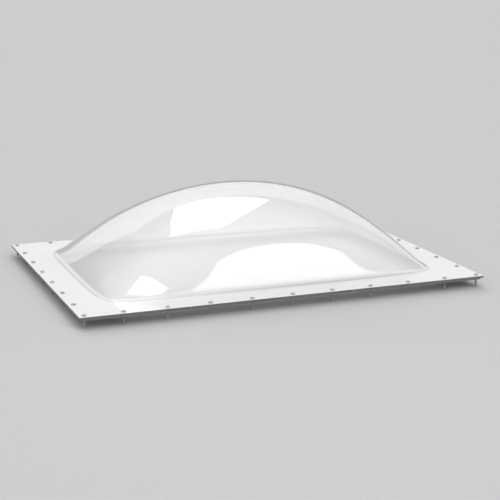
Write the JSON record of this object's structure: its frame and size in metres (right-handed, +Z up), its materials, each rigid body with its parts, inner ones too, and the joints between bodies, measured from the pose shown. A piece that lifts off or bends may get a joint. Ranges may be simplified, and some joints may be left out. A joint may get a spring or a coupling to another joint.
{
  "type": "roof skylight dome",
  "caption": "Low rectangular skylight for a caravan roof: a blown, slightly see-through white dome with a flat flange, bedded on sealing tape and held by a rim of pan head screws.",
  "frame": {"origin": "middle of the roof plane, on which the underside of the sealing tape lies", "axes": "+X along the long side, -Y the near long side of the picture, +Z up, out of the roof"},
  "size_m": [0.66, 0.457, 0.149],
  "materials": {
    "acrylic": "milky white, slightly see-through blown sheet, high gloss",
    "tape": "soft dark grey sealing tape, matt",
    "screw": "steel with a dull grey coat"
  },
  "bodies": {
    "root": {"outer_dome": "acrylic", "seal_front": "tape", "seal_back": "tape", "seal_left": "tape", "seal_right": "tape", "screws_front": "screw", "screws_back": "screw", "screws_left": "screw", "screws_right": "screw", "screws_corner": "screw"}
  },
  "joints": []
}
